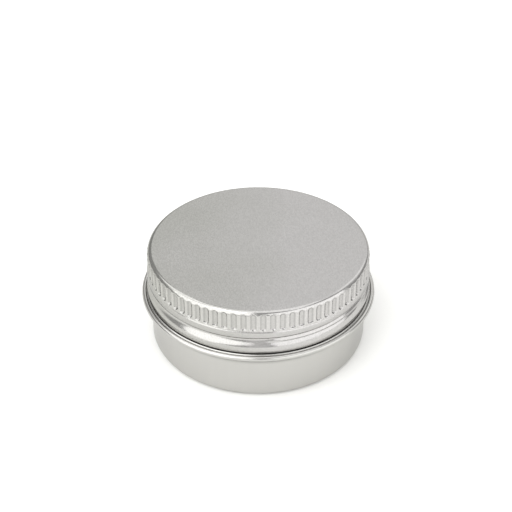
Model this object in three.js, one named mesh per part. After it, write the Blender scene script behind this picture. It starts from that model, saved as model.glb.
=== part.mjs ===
// A round aluminium screw tin: a drawn base with a rolled bead and a threaded neck,
// a screw lid with a fluted grip band, and the foam disc inside the lid that seals on the rim.
// Millimetres, +Z up. The origin is the centre of the base's flat underside.
// Angles are counted in turns around the axis, from the front (-Y), counter-clockwise seen from above.
import * as THREE from "three";

// The sheet that base and lid are drawn from.
const sheet = 0.3;

// Base: the cup below the bead.
const bodyRadius = 24.0;
const bottomCornerRadius = 1.6;
const beadHeight = 11.6;       // middle of the rolled bead, above the underside
const beadRollRadius = 0.6;
const beadReach = 2.0;         // how far the bead stands out from the body wall
const beadFootFillet = 0.2;    // where the wall turns out under the bead

// Base: the shoulder on top of the bead, which the lid comes down to.
const shoulderDrop = 0.15;     // from the bead's top down to the shoulder
const shoulderFillet = 0.5;    // where the shoulder turns up into the neck
const creaseDepth = 0.08;      // the fold line between the bead's roll and the shoulder
const creaseInset = 0.3;       // from the middle of the roll in to the fold line
const creaseHalfWidth = 0.25;
const rollWrap = 110;          // degrees around the roll, from straight out to where the fold line begins

// Base: the neck and its rolled rim.
const neckInset = 0.95;        // the neck's wall, in from the body wall
const rimRollRadius = 0.45;

// The screw thread, rolled outwards in the neck and inwards in the lid.
const threadPitch = 1.6;
const threadTurns = 1.25;
const threadRunOutTurns = 0.06;   // where each end fades into the wall
const threadWidthShare = 0.6;     // of the pitch
const neckThreadHeight = 0.65;
const lidThreadDepth = 0.6;
const threadSeatShare = 0.42;     // of the thread's width: how far the neck's turn sits above the lid's
const threadStartTurn = 0;
const threadMargin = 0.3;         // plain wall kept above and below the neck's thread

// Lid, from its hem up to its top.
const hemHeight = 1.0;
const skirtBelowThread = 1.6;     // hem's lower edge to the first turn's lower limit
const plainBandHeight = 0.5;      // last turn's upper limit to the flutes
const fluteLength = 4.25;
const fluteTopDrop = 0.55;        // lid's top face to the upper end of the flutes
const fluteDepth = 0.25;
const fluteCount = 75;
const fluteWidthShare = 0.72;     // of the distance from flute to flute
const fluteHollowPower = 0.75;    // 1 would be a parabola, and less is fuller at the sides
const lidEdgeRadius = 1.3;
const foldLip = 0.15;             // the rounding of the hem's folded edge

// Foam disc in the lid.
const linerThickness = 1.2;
const linerLap = 0.15;            // past the rim's outside
const linerEdge = 0.1;

// Clearances between the pieces.
const hemClearance = 0.3;         // lid's hem above the bead
const passClearance = 0.15;       // lid's hem around the neck's thread
const linerClearance = 0.1;       // foam to the lid above it and to the rim below it

// How finely the round forms are divided.
const ringStops = 48;
const arcStep = THREE.MathUtils.degToRad(30);
const groovePointShares = [-0.5, -0.25, 0, 0.25, 0.5];
const innerGroovePointShares = [-0.5, 0, 0.5];
const flutePointShares = [-1, -0.4, 0.4, 1];
const innerFlutePointShares = [-1, 0];
const fluteEndShares = [1, 0.55, 0];
const innerFluteEndShares = [1, 0];

// Sizes that follow from the ones above.
const neckRadius = bodyRadius - neckInset;
const neckCrestRadius = neckRadius + neckThreadHeight;
const hemThickness = 2 * sheet;
const lidRadius = neckCrestRadius + passClearance + hemThickness;
const threadWidth = threadWidthShare * threadPitch;
const threadSeat = threadSeatShare * threadWidth;
const threadBandHeight = threadPitch * (threadTurns + 1);
const beadTop = beadHeight + beadRollRadius;
const shoulderHeight = beadTop - shoulderDrop;
const lidSeat = beadTop + hemClearance;
const fluteBottom = skirtBelowThread + threadBandHeight + plainBandHeight;
const fluteTop = fluteBottom + fluteLength;
const lidHeight = fluteTop + fluteTopDrop;
const lidTop = lidSeat + lidHeight;
const linerTop = lidTop - sheet - linerClearance;
const rimTop = linerTop - linerThickness - linerClearance;

// A closed skin around the axis, made of lines of stops. A stop is a point's number and the turn it lies
// at. Lines are joined one after another along the section. With the radius drawn to the right and the
// height upwards, the solid lies on the right of the way that the section runs, so every face looks out.
class Skin {
  constructor() {
    this.positions = [];
    this.faces = [];
    this.lastLine = null;
  }

  point(radius, height, turn) {
    const angle = turn * 2 * Math.PI;
    this.positions.push(radius * Math.sin(angle), -radius * Math.cos(angle), height);
    return this.positions.length / 3 - 1;
  }

  // Fills the strip between two lines. Where both lines have a stop at the same turn,
  // the leading line moves on first.
  fill(before, after, leader = before) {
    const sameTurn = 1e-6;
    const lastBefore = before.length - 1;
    const lastAfter = after.length - 1;
    let i = 0;
    let j = 0;
    while (i < lastBefore || j < lastAfter) {
      let moveBefore = j === lastAfter;
      if (i < lastBefore && j < lastAfter) {
        const lag = before[i + 1].turn - after[j + 1].turn;
        moveBefore = Math.abs(lag) < sameTurn ? leader === before : lag < 0;
      }
      if (moveBefore) {
        this.faces.push(before[i].at, after[j].at, before[i + 1].at);
        i += 1;
      } else {
        this.faces.push(before[i].at, after[j].at, after[j + 1].at);
        j += 1;
      }
    }
  }

  // A line that closes on itself, from the turns of its stops and their radius and height.
  closedLine(turns, radiusAt, height) {
    const stops = turns.map((turn) => ({ at: this.point(radiusAt(turn), height, turn), turn }));
    stops.push({ at: stops[0].at, turn: stops[0].turn + 1 });
    return stops;
  }

  ring(radius, height) {
    const turns = Array.from({ length: ringStops }, (_, k) => k / ringStops);
    return this.closedLine(turns, () => radius, height);
  }

  // Joins a line to the one before it and keeps it for the next.
  add(line) {
    if (this.lastLine) this.fill(this.lastLine, line);
    this.lastLine = line;
  }

  pole(height) {
    this.add([{ at: this.point(0, height, 0), turn: 0 }]);
  }

  // Plain rings through the points of a section, each with x as its radius and y as its height.
  rings(section) {
    for (const { x, y } of section) this.add(this.ring(x, y));
  }

  // A band of wall with a rolled thread in it. The band winds around as one strip, one pitch wide, whose
  // upper edge is the next turn's lower edge. offsetAt gives how far a point stands out from the wall.
  threadBand({ radius, low, startTurn, pointShares, offsetAt, upwards }) {
    const columns = Math.round(threadTurns * ringStops);
    const heightShares = [-0.5, ...pointShares.map((share) => share * threadWidthShare), 0.5];
    const lines = heightShares.map(() => []);
    for (let c = 0; c <= columns; c += 1) {
      const turned = c / ringStops;
      const turn = startTurn + turned;
      const middle = low + threadPitch * (turned + 0.5);
      for (let row = heightShares.length - 1; row >= 0; row -= 1) {
        const sharesEdge = row === 0 && c >= ringStops;
        const share = heightShares[row];
        const wall = radius + offsetAt(turned, share * threadPitch);
        const at = sharesEdge
          ? lines.at(-1)[c - ringStops].at
          : this.point(wall, middle + share * threadPitch, turn);
        lines[row].push({ at, turn });
      }
    }
    for (let row = 1; row < lines.length; row += 1) {
      if (upwards) this.fill(lines[row - 1], lines[row]);
      else this.fill(lines[row], lines[row - 1]);
    }
    const lowerLine = lines[0].slice(0, ringStops + 1);
    const firstColumn = lines.slice(0, -1).map((line) => ({ at: line[0].at, turn: startTurn + 1 }));
    const firstStep = startTurn + (columns - ringStops + 1) / ringStops;
    const lastColumn = lines.slice(1, -1).map((line) => ({ at: line.at(-1).at, turn: firstStep })).reverse();
    const upperLine = lines.at(-1).slice(-ringStops - 1);
    const highEnd = { at: upperLine.at(-1).at, turn: upperLine[0].turn };
    const lowEnd = { at: upperLine[0].at, turn: firstStep };
    const stepped = [highEnd, ...lastColumn, lowEnd, ...upperLine.slice(1)];
    return { lowerLine, firstColumn, upperLine: stepped };
  }

  // The last ring, then a thread band going up the wall, then a ring above it.
  threadUp(options, heightAbove) {
    const band = this.threadBand({ ...options, upwards: true });
    const below = [...startingAt(this.lastLine, band.lowerLine[0].turn), ...band.firstColumn];
    this.fill(below, band.lowerLine);
    const above = this.ring(options.radius, heightAbove);
    const aboveInStep = startingAt(above, band.upperLine[0].turn);
    this.fill(band.upperLine, aboveInStep, aboveInStep);
    this.lastLine = above;
  }

  // The same going down the wall.
  threadDown(options, heightBelow) {
    const band = this.threadBand({ ...options, upwards: false });
    this.fill(startingAt(this.lastLine, band.upperLine[0].turn), band.upperLine);
    const below = this.ring(options.radius, heightBelow);
    const belowInStep = [...startingAt(below, band.lowerLine[0].turn), ...band.firstColumn];
    this.fill(band.lowerLine, belowInStep, belowInStep);
    this.lastLine = below;
  }

  geometry() {
    const geometry = new THREE.BufferGeometry();
    geometry.setAttribute("position", new THREE.Float32BufferAttribute(this.positions, 3));
    geometry.setIndex(this.faces);
    geometry.computeVertexNormals();
    return geometry;
  }
}

// The same closed ring, begun at another of its stops.
function startingAt(line, turn) {
  const open = line.slice(0, -1);
  const first = Math.round((turn - line[0].turn) * open.length);
  const stops = open.map((_, k) => {
    const place = first + k;
    const { at } = open[((place % open.length) + open.length) % open.length];
    return { at, turn: line[0].turn + place / open.length };
  });
  stops.push({ at: stops[0].at, turn: stops[0].turn + 1 });
  return stops;
}

// Points along an arc of the section, from one angle to another, in degrees from straight out.
function arc(centreRadius, centreHeight, radius, fromDegrees, toDegrees) {
  const from = THREE.MathUtils.degToRad(fromDegrees);
  const to = THREE.MathUtils.degToRad(toDegrees);
  const curve = new THREE.EllipseCurve(centreRadius, centreHeight, radius, radius, from, to, to < from);
  return curve.getPoints(Math.max(2, Math.ceil(Math.abs(to - from) / arcStep)));
}

const sectionPoint = (radius, height) => new THREE.Vector2(radius, height);

// How far a thread stands from its wall: a smooth round swell that fades in and out at the ends.
function threadSwell(turned, fromMiddle) {
  if (Math.abs(fromMiddle) >= threadWidth / 2) return 0;
  const ends = Math.min(turned, threadTurns - turned) / threadRunOutTurns;
  const fade = THREE.MathUtils.smoothstep(ends, 0, 1);
  return fade * Math.cos((Math.PI * fromMiddle) / threadWidth) ** 2;
}

// The base, as one drawn sheet: inside from the floor up, over the rim, and down the outside.
function baseGeometry() {
  const skin = new Skin();
  const beadMiddle = bodyRadius + beadReach - beadRollRadius;
  const crease = beadMiddle - creaseInset;
  const innerWall = bodyRadius - sheet;
  const innerNeck = neckRadius - sheet;
  const cornerMiddle = bodyRadius - bottomCornerRadius;
  const filletRadius = neckRadius + shoulderFillet;
  const filletHeight = shoulderHeight + shoulderFillet;
  const beadFoot = beadHeight - beadRollRadius;
  const rimMiddle = sectionPoint(neckRadius - rimRollRadius, rimTop - rimRollRadius);
  const threadLow = lidSeat + skirtBelowThread + threadSeat;
  const threadHigh = threadLow + threadBandHeight;
  const rollFlank = THREE.MathUtils.radToDeg(Math.acos((rimRollRadius - sheet) / rimRollRadius));
  const thread = {
    low: threadLow,
    startTurn: threadStartTurn,
    offsetAt: (turned, fromMiddle) => neckThreadHeight * threadSwell(turned, fromMiddle),
  };
  const innerThread = { ...thread, radius: innerNeck, pointShares: innerGroovePointShares };
  const outerThread = { ...thread, radius: neckRadius, pointShares: groovePointShares };

  skin.pole(sheet);
  skin.rings(arc(cornerMiddle, bottomCornerRadius, bottomCornerRadius - sheet, -90, 0));
  skin.rings([
    sectionPoint(innerWall, beadFoot + sheet - beadFootFillet),
    sectionPoint(innerWall + beadFootFillet, beadFoot + sheet),
  ]);
  skin.rings(arc(beadMiddle, beadHeight, beadRollRadius - sheet, -90, 90));
  skin.rings([
    sectionPoint(crease, shoulderHeight - creaseDepth - sheet),
    sectionPoint(crease - creaseHalfWidth, shoulderHeight - sheet),
  ]);
  skin.rings(arc(filletRadius, filletHeight, shoulderFillet + sheet, 270, 180));
  skin.threadUp(innerThread, threadHigh + threadMargin);
  skin.rings(arc(rimMiddle.x, rimMiddle.y, rimRollRadius, -rollFlank, -360));
  skin.add(skin.ring(neckRadius, threadHigh + threadMargin));
  skin.threadDown(outerThread, threadLow - threadMargin);
  skin.rings(arc(filletRadius, filletHeight, shoulderFillet, 180, 270));
  skin.rings([
    sectionPoint(crease - creaseHalfWidth, shoulderHeight),
    sectionPoint(crease, shoulderHeight - creaseDepth),
  ]);
  skin.rings(arc(beadMiddle, beadHeight, beadRollRadius, rollWrap, 0));
  skin.rings(arc(beadMiddle, beadHeight, beadRollRadius, 0, -90).slice(1));
  skin.rings([
    sectionPoint(bodyRadius + beadFootFillet, beadFoot),
    sectionPoint(bodyRadius, beadFoot - beadFootFillet),
  ]);
  skin.rings(arc(cornerMiddle, bottomCornerRadius, bottomCornerRadius, 0, -90));
  skin.pole(0);
  return skin.geometry();
}

// A height on the lid's side, and the outside wall's radius there, which draws in at the rounded edge.
function lidWallRadius(height) {
  const aboveEdge = height - (lidHeight - lidEdgeRadius);
  if (aboveEdge <= 0) return lidRadius;
  return lidRadius - lidEdgeRadius + Math.sqrt(lidEdgeRadius ** 2 - aboveEdge ** 2);
}

// The rows of a band of pressed flutes with round ends, from the top of the band down. Across a flute, a
// share of 1 is its edge, and along its end a share of 1 is its tip.
function fluteRows(skin, { top, bottom, wallAt, pointShares, endShares, acrossShare }) {
  const halfTurn = fluteWidthShare / fluteCount / 2;
  const endLength = halfTurn * 2 * Math.PI * lidRadius;
  const turns = [];
  for (let flute = 0; flute < fluteCount; flute += 1) {
    for (const share of pointShares) turns.push((flute + 0.5) / fluteCount + share * acrossShare / fluteCount);
  }
  const depthAt = (turn, endShare) => {
    const fromFlute = turn * fluteCount - Math.floor(turn * fluteCount) - 0.5;
    const across = fromFlute / fluteCount / halfTurn;
    return fluteDepth * Math.max(0, 1 - across ** 2 - endShare ** 2) ** fluteHollowPower;
  };
  const upperEnd = endShares.map((share) => [top - endLength * (1 - share), share]);
  const lowerEnd = endShares.map((share) => [bottom + endLength * (1 - share), share]).reverse();
  return [...upperEnd, ...lowerEnd].map(([height, share]) => (
    skin.closedLine(turns, (turn) => wallAt(height) - depthAt(turn, share), height)
  ));
}

// The lid's shell, as one drawn sheet: from the top face down the outside, under the folded hem,
// and up the inside. Its own zero height is the hem's lower edge.
function lidShellGeometry() {
  const skin = new Skin();
  const edgeMiddle = sectionPoint(lidRadius - lidEdgeRadius, lidHeight - lidEdgeRadius);
  const innerWall = lidRadius - sheet;
  const foldWall = lidRadius - hemThickness;
  const bandHigh = skirtBelowThread + threadBandHeight;
  const plainBandMiddle = bandHigh + plainBandHeight / 2;
  const fluteTopAngle = THREE.MathUtils.radToDeg(Math.asin((fluteTop - edgeMiddle.y) / lidEdgeRadius));
  const thread = {
    low: skirtBelowThread,
    startTurn: threadStartTurn,
    offsetAt: (turned, fromMiddle) => -lidThreadDepth * threadSwell(turned, fromMiddle),
  };
  const outerThread = { ...thread, radius: lidRadius, pointShares: groovePointShares };
  const innerThread = { ...thread, radius: innerWall, pointShares: innerGroovePointShares };

  skin.pole(lidHeight);
  skin.rings(arc(edgeMiddle.x, edgeMiddle.y, lidEdgeRadius, 90, fluteTopAngle).slice(0, -1));
  const outerFlutes = fluteRows(skin, {
    top: fluteTop,
    bottom: fluteBottom,
    wallAt: lidWallRadius,
    pointShares: flutePointShares,
    endShares: fluteEndShares,
    acrossShare: fluteWidthShare / 2,
  });
  for (const row of outerFlutes) skin.add(row);
  skin.add(skin.ring(lidRadius, plainBandMiddle));
  skin.threadDown(outerThread, hemHeight);
  skin.rings(arc(lidRadius - sheet, sheet, sheet, 0, -180));
  skin.rings([
    sectionPoint(foldWall, hemHeight - foldLip),
    sectionPoint(foldWall + foldLip, hemHeight),
    sectionPoint(innerWall, hemHeight),
  ]);
  skin.threadUp(innerThread, plainBandMiddle);
  const innerFlutes = fluteRows(skin, {
    top: edgeMiddle.y,
    bottom: fluteBottom,
    wallAt: () => innerWall,
    pointShares: innerFlutePointShares,
    endShares: innerFluteEndShares,
    acrossShare: 0.5,
  });
  for (const row of innerFlutes.reverse()) skin.add(row);
  skin.rings(arc(edgeMiddle.x, edgeMiddle.y, lidEdgeRadius - sheet, 0, 90).slice(1));
  skin.pole(lidHeight - sheet);
  return skin.geometry();
}

// The foam disc, with its edges barely rounded. Its own zero height is its underside.
function linerGeometry() {
  const skin = new Skin();
  const radius = neckRadius + linerLap;
  skin.pole(linerThickness);
  skin.rings([
    sectionPoint(radius - linerEdge, linerThickness),
    sectionPoint(radius, linerThickness - linerEdge),
    sectionPoint(radius, linerEdge),
    sectionPoint(radius - linerEdge, 0),
  ]);
  skin.pole(0);
  return skin.geometry();
}

const brightAluminium = new THREE.MeshStandardMaterial({ color: "#cbcac6", roughness: 0.3, metalness: 1 });
const satinAluminium = new THREE.MeshStandardMaterial({ color: "#b9b9b7", roughness: 0.4, metalness: 1 });
const whiteFoam = new THREE.MeshStandardMaterial({ color: "#f1f1ee", roughness: 0.9, metalness: 0 });

function piece(name, geometry, material, height = 0) {
  const mesh = new THREE.Mesh(geometry, material);
  mesh.name = name;
  mesh.position.z = height;
  return mesh;
}

const lid = new THREE.Group();
lid.position.z = lidSeat;
lid.add(piece("lid_shell", lidShellGeometry(), satinAluminium));
lid.add(piece("lid_liner", linerGeometry(), whiteFoam, linerTop - linerThickness - lidSeat));

const tin = new THREE.Group();
tin.add(piece("tin_base", baseGeometry(), brightAluminium));
tin.add(lid);

export default tin;
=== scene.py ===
# %% [markdown]
# A round screw tin in drawn aluminium
#
# The tin is a cup drawn from thin sheet, with a lid of the same sheet that screws onto a rolled thread
# and seals on a disc of foam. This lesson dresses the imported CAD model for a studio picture.
# The CAD solids stay where they are as the frame. Each one is replaced by a finer piece of the same
# size, because pressed flutes and rolled threads only look right when light can follow their slopes.

import math

import bmesh
import bpy
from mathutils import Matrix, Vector


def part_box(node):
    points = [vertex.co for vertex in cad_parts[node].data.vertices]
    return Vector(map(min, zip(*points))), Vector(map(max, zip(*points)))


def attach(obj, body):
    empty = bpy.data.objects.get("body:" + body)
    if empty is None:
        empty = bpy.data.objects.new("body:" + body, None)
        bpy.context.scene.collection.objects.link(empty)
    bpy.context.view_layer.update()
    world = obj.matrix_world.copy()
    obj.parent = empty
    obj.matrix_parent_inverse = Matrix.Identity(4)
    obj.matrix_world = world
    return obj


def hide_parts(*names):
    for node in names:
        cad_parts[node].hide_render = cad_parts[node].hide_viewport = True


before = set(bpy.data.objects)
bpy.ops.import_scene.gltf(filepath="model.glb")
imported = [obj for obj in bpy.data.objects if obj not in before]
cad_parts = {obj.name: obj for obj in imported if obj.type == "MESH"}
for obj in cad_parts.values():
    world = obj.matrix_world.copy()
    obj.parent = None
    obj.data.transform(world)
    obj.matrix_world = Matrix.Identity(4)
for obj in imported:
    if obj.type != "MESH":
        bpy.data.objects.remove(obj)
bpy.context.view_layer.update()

# %% [markdown]
# Sizes
#
# The drawing works in millimetres and Blender in metres. The big sizes are read from the CAD nodes, so
# the pieces can't drift from the frame. The small ones are close to those of the part's source, and each
# is set where it is first needed.

# %% The boxes of the CAD nodes, in millimetres
MM = 0.001


def box_mm(node):
    """The lowest and the highest corner of a node's box."""
    return [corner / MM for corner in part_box(node)]


tin_high = box_mm("tin_base")[1]
lid_low, lid_high = box_mm("lid_shell")
foam_low, foam_high = box_mm("lid_liner")
print(f"the base is {2 * tin_high.x:.2f} across its bead, and its rim is {tin_high.z:.2f} high")
print(f"the lid is {2 * lid_high.x:.2f} across, from {lid_low.z:.2f} to {lid_high.z:.2f}")

# %% [markdown]
# Drawing a section with a pen
#
# Everything here is turned, so each piece starts as half a section, a line of edges in the XZ plane.
# A pen draws it: one operator pulls the last vertex along a straight run, and a spin about a point
# pulls it round an arc. Both are bmesh operators, so the line needs no list of points.

# %% The pen
def pen_start(mesh, radius, height):
    made = bmesh.ops.create_vert(mesh, co=(radius * MM, 0, height * MM))
    return made["vert"][0]


def pen_line(mesh, tip, radius, height, stops=1):
    step = (Vector((radius * MM, 0, height * MM)) - tip.co) / stops
    for _ in range(stops):
        pulled = bmesh.ops.extrude_vert_indiv(mesh, verts=[tip])
        tip = pulled["verts"][0]
        bmesh.ops.translate(mesh, verts=[tip], vec=step)
    return tip


def pen_arc(mesh, tip, centre, degrees, stops):
    """Turns the tip about a centre, counter-clockwise as seen with the height upwards."""
    made = bmesh.ops.spin(
        mesh,
        geom=[tip],
        cent=(centre[0] * MM, 0, centre[1] * MM),
        axis=(0, -1, 0),
        angle=math.radians(degrees),
        steps=stops,
    )
    return next(v for v in made["geom_last"] if isinstance(v, bmesh.types.BMVert))


trial = bmesh.new()
trial_tip = pen_arc(trial, pen_start(trial, 1, 0), (0, 0), degrees=90, stops=4)
print("a quarter turn takes the pen from (1, 0) to", [round(trial_tip.co[i] / MM, 3) for i in (0, 2)])
trial.free()

# %% The full turn
def turn_section(mesh, name, slices, columns):
    """Turns one slice, and then copies it round, which is quicker than one full spin.

    The columns are the shares of the slice, from 0 to 1, at which the section stops.
    """
    slice_angle = 2 * math.pi / slices
    line = mesh.verts[:] + mesh.edges[:]
    for before, after in zip([0] + columns, columns):
        turned = bmesh.ops.spin(
            mesh,
            geom=line,
            cent=(0, 0, 0),
            axis=(0, 0, 1),
            angle=slice_angle * (after - before),
            steps=1,
        )
        line = turned["geom_last"]
    bmesh.ops.spin(
        mesh,
        geom=mesh.verts[:] + mesh.edges[:] + mesh.faces[:],
        cent=(0, 0, 0),
        axis=(0, 0, 1),
        angle=2 * math.pi - slice_angle,
        steps=slices - 1,
        use_duplicate=True,
    )
    bmesh.ops.remove_doubles(mesh, verts=mesh.verts[:], dist=0.001 * MM)
    bmesh.ops.recalc_face_normals(mesh, faces=mesh.faces[:])
    for face in mesh.faces:
        face.smooth = True
    open_edges = sum(not edge.is_manifold for edge in mesh.edges)
    triangles = sum(len(face.verts) - 2 for face in mesh.faces)
    print(f"{name}: {triangles} triangles, {open_edges} open edges")


def to_piece(mesh, name):
    data = bpy.data.meshes.new(name)
    mesh.to_mesh(data)
    mesh.free()
    piece = bpy.data.objects.new(name, data)
    bpy.context.scene.collection.objects.link(piece)
    return piece


# %% [markdown]
# Helpers for pressed sheet
#
# Rollers and teeth press the sheet in or out without changing its thickness, so both of its faces move
# together. The easiest way to get that is to turn a plain wall with many close rows and then move its
# vertices straight in or out, by a distance that depends only on where they are.

# %% Move a wall in or out
def smooth_step(share):
    share = min(max(share, 0), 1)
    return share * share * (3 - 2 * share)


def hump(share):
    """One in the middle, falling smoothly to nothing at -1 and 1."""
    return math.cos(math.pi / 2 * min(abs(share), 1)) ** 2


def radius_and_height(vertex):
    """How far a vertex lies from the axis, and how high, in millimetres."""
    return math.hypot(vertex.co.x, vertex.co.y) / MM, vertex.co.z / MM


def turn_of(point):
    """Turns from the front, counter-clockwise seen from above."""
    return (math.atan2(point.x, -point.y) / (2 * math.pi)) % 1


def move_out(vertex, distance):
    """Moves a vertex straight out from the axis, by a distance in millimetres."""
    flat = Vector((vertex.co.x, vertex.co.y, 0))
    vertex.co += flat.normalized() * distance * MM


print("a hump's height halfway out:", round(hump(0.5), 2))

# %% [markdown]
# The lid
#
# The lid is drawn from a disc: a flat top, a rounded edge, a straight skirt, and a hem folded inwards so
# that no cut edge shows. The section below runs from the middle of the top, down the outside, around
# the fold and back up the inside, so turning it gives one closed shell with the sheet's real thickness.
# The rows stand closest where the thread will be pressed in, and a short extra stop just before a curve
# keeps the smooth shading of a flat face from bending.

# %% The lid's sizes
sheet = 0.3
hem = lid_low.z
lid_top = lid_high.z
lid_radius = lid_high.x
inside_radius = lid_radius - sheet
fold_radius = lid_radius - 2 * sheet
lid_edge = 1.3
edge_middle = (lid_radius - lid_edge, lid_top - lid_edge)
flute_length = 4.15
flute_top = lid_top - 0.65
flute_bottom = flute_top - flute_length
print(f"the lid's flutes go from {flute_bottom:.2f} up to {flute_top:.2f}")

# %% The lid's section, outside
flute_end = flute_bottom + 0.8
skirt_straight = hem + 1.3
hem_roll = hem + sheet
before_roll = 0.1
before_curve = 0.15

lid_mesh = bmesh.new()
tip = pen_start(lid_mesh, 0, lid_top)
tip = pen_line(lid_mesh, tip, edge_middle[0] - before_curve, lid_top)
tip = pen_line(lid_mesh, tip, edge_middle[0], lid_top)
tip = pen_arc(lid_mesh, tip, edge_middle, degrees=-90, stops=14)
tip = pen_line(lid_mesh, tip, lid_radius, flute_end, stops=3)
tip = pen_line(lid_mesh, tip, lid_radius, flute_bottom, stops=8)
tip = pen_line(lid_mesh, tip, lid_radius, skirt_straight, stops=36)
tip = pen_line(lid_mesh, tip, lid_radius, hem_roll + before_roll, stops=3)
tip = pen_line(lid_mesh, tip, lid_radius, hem_roll)
print("stops down the lid's outside:", len(lid_mesh.verts))

# %% The lid's section, hem and inside
fold_top = hem + 1.0
fold_chamfer = 0.15

tip = pen_arc(lid_mesh, tip, (inside_radius, hem_roll), degrees=-180, stops=6)
tip = pen_line(lid_mesh, tip, fold_radius, fold_top - fold_chamfer)
tip = pen_line(lid_mesh, tip, fold_radius + fold_chamfer, fold_top)
tip = pen_line(lid_mesh, tip, inside_radius, fold_top)
tip = pen_line(lid_mesh, tip, inside_radius, skirt_straight)
tip = pen_line(lid_mesh, tip, inside_radius, flute_bottom, stops=15)
tip = pen_line(lid_mesh, tip, inside_radius, flute_end, stops=3)
tip = pen_line(lid_mesh, tip, inside_radius, edge_middle[1], stops=2)
tip = pen_arc(lid_mesh, tip, edge_middle, degrees=90, stops=6)
tip = pen_line(lid_mesh, tip, edge_middle[0] - before_curve, lid_top - sheet)
tip = pen_line(lid_mesh, tip, 0, lid_top - sheet)
print("stops along the lid's whole section:", len(lid_mesh.verts))

# %% [markdown]
# The flutes
#
# The grip band has 75 flutes. Each is a pocket with round ends, a flat bottom and steep sides, pressed in
# by a tooth, and where the lid's edge rounds away from the tooth the pocket ends by itself. The lid is
# turned with twelve columns to a flute, and they stand closest at the steep sides, which catch the light.

# %% The flutes' shape
flute_count = 75
flute_pitch = 2 * math.pi * lid_radius / flute_count
flute_depth = 0.36
flute_half_width = 0.75
flute_side = 0.3


def past_flute_edge(turn, height):
    """How far this place lies inside the nearest flute's outline, negative outside it, in millimetres."""
    across = (turn * flute_count % 1 - 0.5) * flute_pitch
    nearest = min(max(height, flute_bottom + flute_half_width), flute_top - flute_half_width)
    return flute_half_width - math.hypot(across, height - nearest)


def flute_hollow(inside):
    """How far the tooth reaches in, in millimetres."""
    return flute_depth * smooth_step(inside / flute_side)


bottom_column = 0.12
side_places = [flute_half_width - flute_side * share for share in (0, 0.33, 0.67, 1)]
half_columns = [place / flute_pitch for place in side_places] + [bottom_column]
left_columns = [0.5 - column for column in half_columns]
right_columns = [0.5 + column for column in half_columns]
flute_columns = sorted(left_columns + [0.5] + right_columns + [1])
print("columns across one flute:", [round(column, 3) for column in flute_columns])

# %% [markdown]
# The flutes' painted shade and highlight
#
# The steep sides of each flute get painted shade, darker, and the ridges between the flutes get a painted
# highlight, brighter. So each vertex keeps this painted light as an attribute, one for plain sheet, and
# the lid's finish multiplies it into the colour.

# %% The flutes' painted shade and highlight
flute_side_painted_shade = 0.38
ridge_painted_highlight = 0.17
ridge_reach = 0.6


def flute_painted_light(inside):
    """The painted shade and highlight of this place, from how far it lies inside a flute's outline."""
    side = min(max(inside / flute_side, 0), 1)
    ridge = smooth_step(1 + inside / ridge_reach) if inside < 0 else 1 - side
    return 1 - flute_side_painted_shade * 4 * side * (1 - side) + ridge_painted_highlight * ridge


print("shine halfway down a flute's side:", round(flute_painted_light(flute_side / 2), 2))

# %% [markdown]
# The skirt
#
# Under the flutes the sheet steps out a little. Then a roller presses the lid's thread in as a groove, one
# pitch higher after every turn. The groove is short and steep above, after a gentle start. Below it the
# skirt comes back out in one long slope and goes on past the lid's radius to the hem, and this slope is
# what catches the light. At the front the thread begins, so for the next quarter turn two turns of it lie
# over each other, with a low ridge and a second, fainter groove between.

# %% The skirt with one groove
thread_pitch = 1.6
lid_thread_low = hem + 0.95
groove_depth = 0.46
groove_reach = 0.65
groove_share = 0.72
tail_reach = 1.5
skirt_flare = 0.35
hem_turn = 0.03
band_out = 0.19
band_rise = 0.55


def skirt_with_groove(height, middle):
    """How far the skirt stands out from the lid's radius, with one groove at this middle height."""
    if height > middle:
        above = height - middle
        band = band_out * smooth_step((flute_bottom - height) / band_rise)
        dip = groove_share * hump(above / groove_reach) + (1 - groove_share) * hump(above / tail_reach)
        return band - (band_out + groove_depth) * dip
    share = min((middle - height) / (middle - skirt_straight), 1)
    fall = (share + smooth_step(share)) / 2
    turned_in = hem_turn * smooth_step((skirt_straight - height) / (skirt_straight - hem))
    return (groove_depth + skirt_flare) * fall - groove_depth - turned_in


print("how far the hem stands out:", round(skirt_with_groove(hem, lid_thread_low + thread_pitch), 2))

# %% The skirt all the way round
thread_turns = 1.25
ridge_height = 0.2
ridge_drop = 0.5
faint_depth = 0.1
faint_drop = 0.95
line_reach = 0.38
line_start = 0.05
overlap_fade = 0.15
overlap_end = thread_turns - 1


def skirt_out(turn, height):
    """How far the skirt stands out at this place, in millimetres."""
    first = lid_thread_low + thread_pitch * (turn + 0.5)
    if turn > 0.5:
        return skirt_with_groove(height, first)
    second = first + thread_pitch
    ending = smooth_step((turn - overlap_fade) / (overlap_end - overlap_fade))
    out = (1 - ending) * skirt_with_groove(height, second) + ending * skirt_with_groove(height, first)
    beginning = smooth_step(turn / line_start) * (1 - ending)
    out += beginning * ridge_height * hump((height - second + ridge_drop) / line_reach)
    out -= beginning * faint_depth * hump((height - second + faint_drop) / line_reach)
    return out


print("the lid's two turns overlap for a share of a turn of", overlap_end)

# %% [markdown]
# Pressing the lid
#
# The tooth moves both faces of the wall by the same distance. At the rounded edge it only reaches what
# stands out past its tip, so the pocket ends there by itself. The flat top and the hem's inner fold stay
# as they are.

# %% Turn the lid, then press it
slack = 0.01

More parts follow.
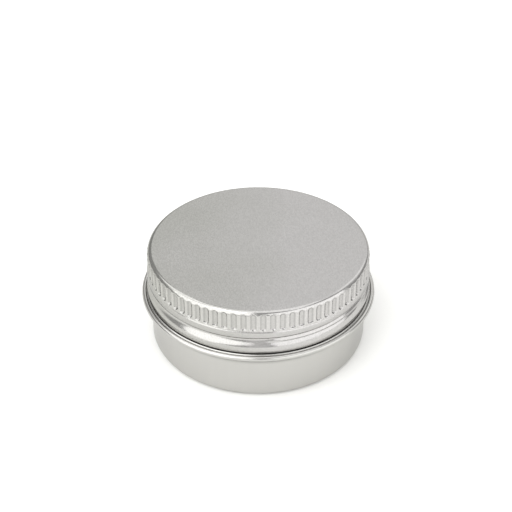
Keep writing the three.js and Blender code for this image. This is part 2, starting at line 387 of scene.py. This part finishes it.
turn_section(lid_mesh, "lid", flute_count, flute_columns)
painted_light = lid_mesh.verts.layers.float.new("painted_light")
for vertex in lid_mesh.verts:
    vertex[painted_light] = 1
    radius, height = radius_and_height(vertex)
    in_fold = radius < fold_radius - slack and height < skirt_straight
    if in_fold or radius < edge_middle[0]:
        continue
    turn = turn_of(vertex.co)
    if height > flute_bottom:
        outer = radius if radius > inside_radius + slack else radius + sheet
        reach = max(0, outer - lid_radius + flute_depth)
        inside = past_flute_edge(turn, height)
        move_out(vertex, -min(reach, flute_hollow(inside)))
        # Painted shade on the flutes' steep sides and painted highlight on the ridges, kept per vertex.
        vertex[painted_light] += (flute_painted_light(inside) - 1) * reach / flute_depth
    else:
        move_out(vertex, skirt_out(turn, height))
lid_piece = to_piece(lid_mesh, "lid_drawn_shell")

# %% [markdown]
# The base
#
# The base is one drawn cup as well. From the inside: the floor, a rounded corner, the wall, the bead that
# is rolled outwards, the shoulder that the lid comes down to, the neck with its thread, and the rim that
# is rolled inwards so the edge is safe to touch. The outside follows the same way back down. Where the
# bead's roll meets the shoulder the sheet has a crease, with a low ridge beside it. The bead and the
# shoulder sit up to 0.1 mm higher than in the CAD solid, where the picture shows them.

# %% The base's sizes
body_radius = 24.0
bottom_corner = 1.6
bead_height = 11.68
bead_roll = 0.64
bead_middle = (tin_high.x - bead_roll, bead_height)
bead_foot = bead_height - bead_roll
neck_radius = 23.05
shoulder = 12.13
shoulder_fillet = 0.5
crease_radius = bead_middle[0] - 0.34
crease_height = shoulder - 0.03
print(f"the wall meets the bead at {bead_foot:.2f}, and the shoulder is at {shoulder:.2f}")

# %% The base's section, inside
wall_inside = body_radius - sheet
corner_middle = (body_radius - bottom_corner, bottom_corner)
foot_fillet = 0.2
crease_run = 0.25
fillet_middle = (neck_radius + shoulder_fillet, shoulder + shoulder_fillet)

base_mesh = bmesh.new()
tip = pen_start(base_mesh, 0, sheet)
tip = pen_line(base_mesh, tip, corner_middle[0] - before_curve, sheet)
tip = pen_line(base_mesh, tip, corner_middle[0], sheet)
tip = pen_arc(base_mesh, tip, corner_middle, degrees=90, stops=10)
tip = pen_line(base_mesh, tip, wall_inside, bead_foot, stops=6)
tip = pen_line(base_mesh, tip, wall_inside + foot_fillet / 2, bead_foot + foot_fillet)
tip = pen_line(base_mesh, tip, wall_inside + sheet, bead_foot + sheet)
tip = pen_line(base_mesh, tip, bead_middle[0], bead_foot + sheet)
tip = pen_arc(base_mesh, tip, bead_middle, degrees=180, stops=10)
tip = pen_line(base_mesh, tip, crease_radius, crease_height - sheet)
tip = pen_line(base_mesh, tip, crease_radius - crease_run, shoulder - sheet)
tip = pen_line(base_mesh, tip, fillet_middle[0], shoulder - sheet)
tip = pen_arc(base_mesh, tip, fillet_middle, degrees=-90, stops=8)
print("stops up the base's inside to the neck:", len(base_mesh.verts))

# %% The base's section, neck and rim
neck_inside = neck_radius - sheet
neck_thread_low = hem + 2.0
neck_thread_top = neck_thread_low + thread_pitch * (thread_turns + 1)
rim_roll = 0.45
rim_middle = (neck_radius - rim_roll, tin_high.z - rim_roll)
rim_flank = math.acos((rim_roll - sheet) / rim_roll)
rim_join = rim_middle[1] - rim_roll * math.sin(rim_flank)

tip = pen_line(base_mesh, tip, neck_inside, neck_thread_low)
tip = pen_line(base_mesh, tip, neck_inside, neck_thread_top, stops=24)
tip = pen_line(base_mesh, tip, neck_inside, rim_join)
tip = pen_arc(base_mesh, tip, rim_middle, degrees=math.degrees(rim_flank) - 360, stops=24)
tip = pen_line(base_mesh, tip, neck_radius, neck_thread_top, stops=2)
tip = pen_line(base_mesh, tip, neck_radius, neck_thread_low, stops=36)
tip = pen_line(base_mesh, tip, neck_radius, fillet_middle[1])
tip = pen_arc(base_mesh, tip, fillet_middle, degrees=90, stops=8)
print("stops along the base's section to the shoulder:", len(base_mesh.verts))

# %% The base's section, shoulder and bead
ridge_roll = 0.24
ridge_flank = 20
ridge_middle = (crease_radius - 0.34, shoulder - 0.08)
ridge_side = ridge_roll * math.cos(math.radians(ridge_flank))
ridge_foot = ridge_middle[1] + ridge_roll * math.sin(math.radians(ridge_flank))
roll_wrap = 110
roll_end_radius = bead_middle[0] + bead_roll * math.cos(math.radians(roll_wrap))
roll_end_height = bead_height + bead_roll * math.sin(math.radians(roll_wrap))

tip = pen_line(base_mesh, tip, ridge_middle[0] - ridge_side, ridge_foot)
tip = pen_arc(base_mesh, tip, ridge_middle, degrees=2 * ridge_flank - 180, stops=8)
tip = pen_line(base_mesh, tip, crease_radius, crease_height)
tip = pen_line(base_mesh, tip, roll_end_radius, roll_end_height)
tip = pen_arc(base_mesh, tip, bead_middle, degrees=-90 - roll_wrap, stops=20)
print("stops along the base's section to the bead's foot:", len(base_mesh.verts))

# %% The base's section, wall and underside
foot_fillet_middle = 0.06
shade_end = bead_height - 2.8

tip = pen_line(base_mesh, tip, body_radius + foot_fillet, bead_foot, stops=2)
tip = pen_line(base_mesh, tip, body_radius + foot_fillet_middle, bead_foot - foot_fillet_middle)
tip = pen_line(base_mesh, tip, body_radius, bead_foot - foot_fillet)
tip = pen_line(base_mesh, tip, body_radius, shade_end, stops=8)
tip = pen_line(base_mesh, tip, body_radius, bottom_corner + before_curve, stops=5)
tip = pen_line(base_mesh, tip, body_radius, bottom_corner)
tip = pen_arc(base_mesh, tip, corner_middle, degrees=-90, stops=12)
tip = pen_line(base_mesh, tip, corner_middle[0] - before_curve, 0)
tip = pen_line(base_mesh, tip, 0, 0)
print("stops along the base's whole section:", len(base_mesh.verts))

# %% [markdown]
# The neck's thread
#
# The neck's thread is the lid's groove the other way round: a roller inside the neck swells the sheet
# outwards. It starts at the front too, one and a quarter turns long, and fades where the roller was
# lifted. It lies between the lid's grooves, with play, so the lid can sit on it without rubbing.

# %% The neck's thread
neck_thread_height = 0.6
neck_thread_reach = 0.48
neck_thread_fade = 0.06


def neck_thread(turn, height):
    """How far the neck's thread swells out, in millimetres."""
    swell = 0
    for whole_turns in range(2):
        turned = turn + whole_turns
        if turned < thread_turns:
            middle = neck_thread_low + thread_pitch * (turned + 0.5)
            fade = smooth_step(min(turned, thread_turns - turned) / neck_thread_fade)
            swell = max(swell, fade * hump((height - middle) / neck_thread_reach))
    return neck_thread_height * swell


print("the neck's thread swells out by", neck_thread_height)

# %% [markdown]
# Pressing the base
#
# The wall close under the bead gets painted shade, darker where little light reaches it. Each vertex
# keeps how much painted shade it takes as an attribute, and the base's finish reads it.

# %% Turn the base, then press it
round_slices = 24
round_columns = [step / 20 for step in range(1, 21)]
shade_start = bead_height - 0.1
shade_rise = 0.3
shade_fade = 1.1
neck_low = shoulder + 0.6

turn_section(base_mesh, "base", round_slices, round_columns)
painted_shade_under_bead = base_mesh.verts.layers.float.new("painted_shade_under_bead")
for vertex in base_mesh.verts:
    radius, height = radius_and_height(vertex)
    if radius > body_radius - slack:
        # Painted shade: the wall just under the bead is marked darker, fading out further down.
        below = smooth_step((shade_start - height) / shade_rise)
        vertex[painted_shade_under_bead] = below * smooth_step((height - shade_end) / shade_fade)
    if radius > neck_inside - slack and neck_low < height < rim_join:
        move_out(vertex, neck_thread(turn_of(vertex.co), height))
base_piece = to_piece(base_mesh, "base_drawn_cup")

# %% [markdown]
# The foam disc
#
# A disc of polyethylene foam lies in the lid and is squeezed by the rim each time the tin is closed, so
# its underside carries a shallow ring from the rim. The section draws that ring with two short slopes.

# %% The foam disc
foam_edge = 0.1
foam_corner = foam_high.x - foam_edge
ring_depth = 0.08
ring_height = foam_low.z + ring_depth
ring_outer = neck_radius - 0.1
ring_inner = neck_radius - 2 * rim_roll + 0.15
ring_slope = 0.25
ring_stop = 0.3

foam_mesh = bmesh.new()
tip = pen_start(foam_mesh, 0, foam_high.z)
tip = pen_line(foam_mesh, tip, foam_corner - foam_edge, foam_high.z)
tip = pen_line(foam_mesh, tip, foam_corner, foam_high.z)
tip = pen_arc(foam_mesh, tip, (foam_corner, foam_high.z - foam_edge), degrees=-90, stops=3)
tip = pen_line(foam_mesh, tip, foam_high.x, foam_low.z + foam_edge)
tip = pen_arc(foam_mesh, tip, (foam_corner, foam_low.z + foam_edge), degrees=-90, stops=3)
tip = pen_line(foam_mesh, tip, ring_outer, ring_height, stops=2)
tip = pen_line(foam_mesh, tip, ring_inner, ring_height)
tip = pen_line(foam_mesh, tip, ring_inner - ring_slope, foam_low.z, stops=2)
tip = pen_line(foam_mesh, tip, ring_inner - ring_slope - ring_stop, foam_low.z)
tip = pen_line(foam_mesh, tip, 0, foam_low.z)
turn_section(foam_mesh, "foam disc", round_slices // 2, round_columns)
foam_piece = to_piece(foam_mesh, "lid_foam_disc")

# %% [markdown]
# Helpers for the finishes
#
# A hex colour from a picture is sRGB, while the shader works in linear light, so one function turns the
# first into the second. Another adds a node with its settings and links, which keeps each finish short.

# %% Colour and node helpers
def linear(hex_colour):
    values = [int(hex_colour[i:i + 2], 16) / 255 for i in (1, 3, 5)]
    return [v / 12.92 if v <= 0.04045 else ((v + 0.055) / 1.055) ** 2.4 for v in values] + [1]


def add_node(tree, kind, settings=None, **inputs):
    """Adds a node. An input is a value, or an output socket of another node to link.

    An input is named by its socket, with _ for a space, or by i and its number.
    """
    node = tree.nodes.new(kind)
    for name, value in (settings or {}).items():
        setattr(node, name, value)
    for name, value in inputs.items():
        key = int(name[1:]) if name[1:].isdigit() else name.replace("_", " ")
        socket = node.inputs[key]
        if isinstance(value, bpy.types.NodeSocket):
            tree.links.new(value, socket)
        else:
            socket.default_value = value
    return node


def new_finish(name):
    finish = bpy.data.materials.new(name)
    finish.use_nodes = True
    tree = finish.node_tree
    shader = tree.nodes["Principled BSDF"]
    return finish, tree, shader


def grains_per_metre(size_mm):
    """A noise scale that gives grains of about this size on Object coordinates."""
    return 1 / (size_mm * MM)


print("satin grey in linear light:", [round(v, 3) for v in linear("#c0bfbd")[:3]])

# %% [markdown]
# Satin aluminium for the lid
#
# The lid is cold rolled aluminium sheet with a clear lacquer. Rolling leaves a fine grain that scatters
# the light, so the top looks pale grey with a fine speckle, drawn out along the rolling direction.
# The real grain is a few hundredths of a millimetre, too fine to show, so it is drawn about a fifth of a
# millimetre wide and twice as long.

# %% The lid's grain
rolled_grain_mm = 0.22
rolling_direction = math.radians(35)

satin, tree, shader = new_finish("satin_rolled_aluminium")
place = add_node(tree, "ShaderNodeTexCoord")
rolling = add_node(
    tree, "ShaderNodeMapping",
    Vector=place.outputs["Object"], Rotation=(0, 0, rolling_direction), Scale=(1.0, 0.45, 1.0),
)
grain = add_node(
    tree, "ShaderNodeTexNoise", Vector=rolling.outputs[0],
    Scale=grains_per_metre(rolled_grain_mm), Detail=2.0, Roughness=0.6,
)
spread = add_node(
    tree, "ShaderNodeMapRange",
    Value=grain.outputs["Fac"], From_Min=0.34, From_Max=0.66,
)
speckle = add_node(
    tree, "ShaderNodeMix", {"data_type": "RGBA"},
    i0=spread.outputs[0], i6=linear("#b2b1af"), i7=linear("#c0bfbd"),
)
print("the lid's grain is drawn at", rolled_grain_mm, "mm")

# %% [markdown]
# The lid's uneven tone and painted shade
#
# Rolled sheet is never quite even, and a very large noise makes its tone blotchy. A ramp across the lid
# adds painted shade on its left side, darker towards the left. The painted shade and highlight that each
# vertex keeps on the flutes is multiplied in as well.

# %% The lid's tone and painted shade
patch_mm = 20.0

cloud = add_node(
    tree, "ShaderNodeTexNoise", Vector=place.outputs["Object"],
    Scale=grains_per_metre(patch_mm), Detail=1.0,
)
across = add_node(tree, "ShaderNodeSeparateXYZ", Vector=place.outputs["Object"])
# Painted shade: a ramp along X makes the lid's left side darker.
painted_left_side_shade = add_node(
    tree, "ShaderNodeMapRange",
    Value=across.outputs["X"], From_Min=-24 * MM, From_Max=12 * MM, To_Min=-0.4, To_Max=0.6,
)
patches_and_painted_shade = add_node(
    tree, "ShaderNodeMath", {"operation": "ADD", "use_clamp": True},
    i0=painted_left_side_shade.outputs[0], i1=cloud.outputs["Fac"],
)
blotchy_tone_and_painted_shade = add_node(
    tree, "ShaderNodeMix", {"data_type": "RGBA"},
    i0=patches_and_painted_shade.outputs[0], i6=linear("#ecede9"), i7=linear("#fffeff"),
)
uneven = add_node(
    tree, "ShaderNodeMix", {"data_type": "RGBA", "blend_type": "MULTIPLY"},
    i0=1.0, i6=speckle.outputs[2], i7=blotchy_tone_and_painted_shade.outputs[2],
)
# The flutes' painted shade and highlight scale the colour.
painted_light_read = add_node(tree, "ShaderNodeAttribute", {"attribute_name": "painted_light"})
tone_with_painted_light = add_node(
    tree, "ShaderNodeMix", {"data_type": "RGBA", "blend_type": "MULTIPLY"},
    i0=1.0, i6=uneven.outputs[2], i7=painted_light_read.outputs["Color"],
)
tree.links.new(tone_with_painted_light.outputs[2], shader.inputs["Base Color"])
print("the lid's tone changes over about", patch_mm, "mm")

# %% The lid's gloss
rough = add_node(
    tree, "ShaderNodeMapRange",
    Value=grain.outputs["Fac"], To_Min=0.13, To_Max=0.20,
)
bump = add_node(
    tree, "ShaderNodeBump",
    Strength=0.2, Distance=0.02 * MM, Height=grain.outputs["Fac"],
)
tree.links.new(rough.outputs[0], shader.inputs["Roughness"])
tree.links.new(bump.outputs[0], shader.inputs["Normal"])
shader.inputs["Metallic"].default_value = 1.0
shader.inputs["Specular Tint"].default_value = linear("#d8d8d8")
print(satin.name, "has", len(tree.nodes), "nodes")

# %% [markdown]
# Drawn aluminium for the base
#
# The base is the same sheet, but the die has stretched and burnished its wall. That leaves faint marks
# that run up the wall the way that the metal was drawn. The noise is stretched twenty times along the
# height to draw them. The wall under the bead gets painted shade, a darker grey.

# %% The base's tone
drawn_mark_mm = 1.1

drawn, tree, shader = new_finish("drawn_aluminium")
place = add_node(tree, "ShaderNodeTexCoord")
stretch = add_node(
    tree, "ShaderNodeMapping",
    Vector=place.outputs["Object"], Scale=(1.0, 1.0, 0.05),
)
marks = add_node(
    tree, "ShaderNodeTexNoise", Vector=stretch.outputs[0],
    Scale=grains_per_metre(drawn_mark_mm), Detail=2.0, Roughness=0.5,
)
tone = add_node(
    tree, "ShaderNodeMix", {"data_type": "RGBA"},
    i0=marks.outputs["Fac"], i6=linear("#b9b8b5"), i7=linear("#bfbebb"),
)
under = add_node(tree, "ShaderNodeAttribute", {"attribute_name": "painted_shade_under_bead"})
# Painted shade under the bead: a darker grey mixed in by the kept attribute.
tone_with_painted_shade = add_node(
    tree, "ShaderNodeMix", {"data_type": "RGBA"},
    i0=under.outputs["Fac"], i6=tone.outputs[2], i7=linear("#989794"),
)
tree.links.new(tone_with_painted_shade.outputs[2], shader.inputs["Base Color"])
print("the base's marks are drawn at", drawn_mark_mm, "mm")

# %% The base's gloss
drawn_grain_mm = 0.3

grain = add_node(
    tree, "ShaderNodeTexNoise", Vector=place.outputs["Object"],
    Scale=grains_per_metre(drawn_grain_mm), Detail=2.0, Roughness=0.6,
)
rough = add_node(
    tree, "ShaderNodeMapRange",
    Value=marks.outputs["Fac"], To_Min=0.21, To_Max=0.25,
)
bump = add_node(
    tree, "ShaderNodeBump",
    Strength=0.08, Distance=0.02 * MM, Height=grain.outputs["Fac"],
)
tree.links.new(rough.outputs[0], shader.inputs["Roughness"])
tree.links.new(bump.outputs[0], shader.inputs["Normal"])
shader.inputs["Metallic"].default_value = 1.0
shader.inputs["Specular Tint"].default_value = linear("#ececec")
print(drawn.name, "has", len(tree.nodes), "nodes")

# %% [markdown]
# White foam
#
# Closed cell polyethylene foam is a matt white plastic full of tiny bubbles. The sliced skin shows them
# as fine pits, about a third of a millimetre across.

# %% The foam's finish
foam_cell_mm = 0.35

foam, tree, shader = new_finish("white_polyethylene_foam")
place = add_node(tree, "ShaderNodeTexCoord")
cells = add_node(
    tree, "ShaderNodeTexVoronoi", {"feature": "F1"},
    Vector=place.outputs["Object"], Scale=grains_per_metre(foam_cell_mm),
)
tone = add_node(
    tree, "ShaderNodeMix", {"data_type": "RGBA"},
    i0=cells.outputs["Distance"], i6=linear("#f3f3f0"), i7=linear("#e6e6e2"),
)
bump = add_node(
    tree, "ShaderNodeBump",
    Strength=0.5, Distance=0.05 * MM, Height=cells.outputs["Distance"],
)
tree.links.new(tone.outputs[2], shader.inputs["Base Color"])
tree.links.new(bump.outputs[0], shader.inputs["Normal"])
shader.inputs["Roughness"].default_value = 0.75
shader.inputs["IOR"].default_value = 1.5
print(foam.name, "has", len(tree.nodes), "nodes")

# %% [markdown]
# Into the frame
#
# Each piece now takes its finish, rides on the body of the CAD node that it stands for, and takes that
# node's place. The lid's disc rides on the liner, which rises with the lid but doesn't turn with it.

# %% Put each piece in its node's place
dressed = [
    (lid_piece, "lid", "lid_shell", "lid_aluminium", satin),
    (base_piece, "base", "tin_base", "base_aluminium", drawn),
    (foam_piece, "liner", "lid_liner", "liner_foam", foam),
]
for piece, body, node, slot, finish in dressed:
    piece.data.materials.append(finish)
    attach(piece, body)
    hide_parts(node)
    print(piece.name, "rides on", body, "and stands for", node)

# %% [markdown]
# The studio
#
# The tin stands on white paper under broad soft lights. Polished metal shows whatever is around it, so
# the lights and the paper matter as much as the finish.

# %% The floor
floor_half = 3.0
paper_fibre_mm = 0.8

floor_mesh = bmesh.new()
bmesh.ops.create_grid(floor_mesh, x_segments=1, y_segments=1, size=floor_half)
floor = to_piece(floor_mesh, "floor")
paper, tree, shader = new_finish("white_paper")
place = add_node(tree, "ShaderNodeTexCoord")
fibre = add_node(
    tree, "ShaderNodeTexNoise", Vector=place.outputs["Object"],
    Scale=grains_per_metre(paper_fibre_mm), Detail=2.0,
)
tone = add_node(
    tree, "ShaderNodeMix", {"data_type": "RGBA"},
    i0=fibre.outputs["Fac"], i6=linear("#fafaf8"), i7=linear("#fcfcfa"),
)
tree.links.new(tone.outputs[2], shader.inputs["Base Color"])
shader.inputs["Roughness"].default_value = 0.9
floor.data.materials.append(paper)
print("the floor is", 2 * floor_half, "m across")

# %% [markdown]
# The lights
#
# A big softbox on each side draws the two long highlights in the skirt. The left one is rolled, which
# tilts the ends of its highlight. One behind and one overhead keep the top even, a small one in front
# lifts the gap under the lid, and two smaller ones stand for windows and light the sides.

# %% The room and one soft light
world = bpy.data.worlds.new("studio")
world.use_nodes = True
room = world.node_tree.nodes["Background"]
room.inputs["Color"].default_value = linear("#fdfdfc")
room.inputs["Strength"].default_value = 0.5
bpy.context.scene.world = world
print("the room's light has the strength", room.inputs["Strength"].default_value)


def soft_light(name, azimuth, elevation, distance, size, power, roll=0):
    """A rectangular soft light that faces the tin. Azimuth 0 is the front, and 90 is the right."""
    turn = math.radians(azimuth)
    rise = math.radians(elevation)
    place = Vector((
        math.sin(turn) * math.cos(rise),
        -math.cos(turn) * math.cos(rise),
        math.sin(rise),
    )) * distance
    data = bpy.data.lights.new(name, "AREA")
    data.shape = "RECTANGLE"
    data.size, data.size_y = size
    data.energy = power
    light = bpy.data.objects.new(name, data)
    light.location = place
    light.rotation_euler = (-place).to_track_quat("-Z", "Y").to_euler()
    light.rotation_euler.rotate_axis("Z", math.radians(roll))
    bpy.context.scene.collection.objects.link(light)
    print(f"{name}: {power} W")


# %% The lights
near = 0.7
far = 0.8
window = (0.4, 0.4)

soft_light("left softbox", -47, 32, near, size=(0.94, 0.85), power=4.5, roll=28)
soft_light("right softbox", 51, 25, near, size=(1.05, 0.62), power=2.6)
soft_light("front fill", 0, 9, near, size=(0.25, 0.2), power=0.06)
soft_light("back softbox", 165, 42, near, size=(0.9, 0.9), power=1.5)
soft_light("left window", -110, 50, far, size=window, power=0.7)
soft_light("right window", 125, 40, far, size=window, power=0.2)
soft_light("overhead", 0, 84, far, size=(0.9, 0.55), power=1.7)

# %% [markdown]
# The camera
#
# The picture was taken from a little above, with a longish lens. The place was found by matching the
# outlines of the lid, the bead and the base, so the camera needs no shift.

# %% The camera
picture_width = 512
focal_pixels = 1249.9
sensor_width = 36.0
camera_distance = 288.0
camera_elevation = math.radians(38.673)
camera_roll = math.radians(-0.1)
aim = Vector((-0.506, 0, 19.91)) * MM

lens = bpy.data.cameras.new("camera")
lens.sensor_fit = "HORIZONTAL"
lens.sensor_width = sensor_width
lens.lens = focal_pixels * sensor_width / picture_width
lens.clip_start = 0.01
camera = bpy.data.objects.new("camera", lens)
towards_camera = Vector((0, -math.cos(camera_elevation), math.sin(camera_elevation)))
camera.location = towards_camera * camera_distance * MM
look = (aim - camera.location).to_track_quat("-Z", "Y").to_matrix().to_4x4()
camera.rotation_euler = look.to_euler()
camera.rotation_euler.rotate_axis("Z", camera_roll)
bpy.context.scene.collection.objects.link(camera)
bpy.context.scene.camera = camera
bpy.context.scene.view_settings.view_transform = "Standard"
print(f"lens {lens.lens:.1f} mm, camera at {[round(c, 4) for c in camera.location]}")
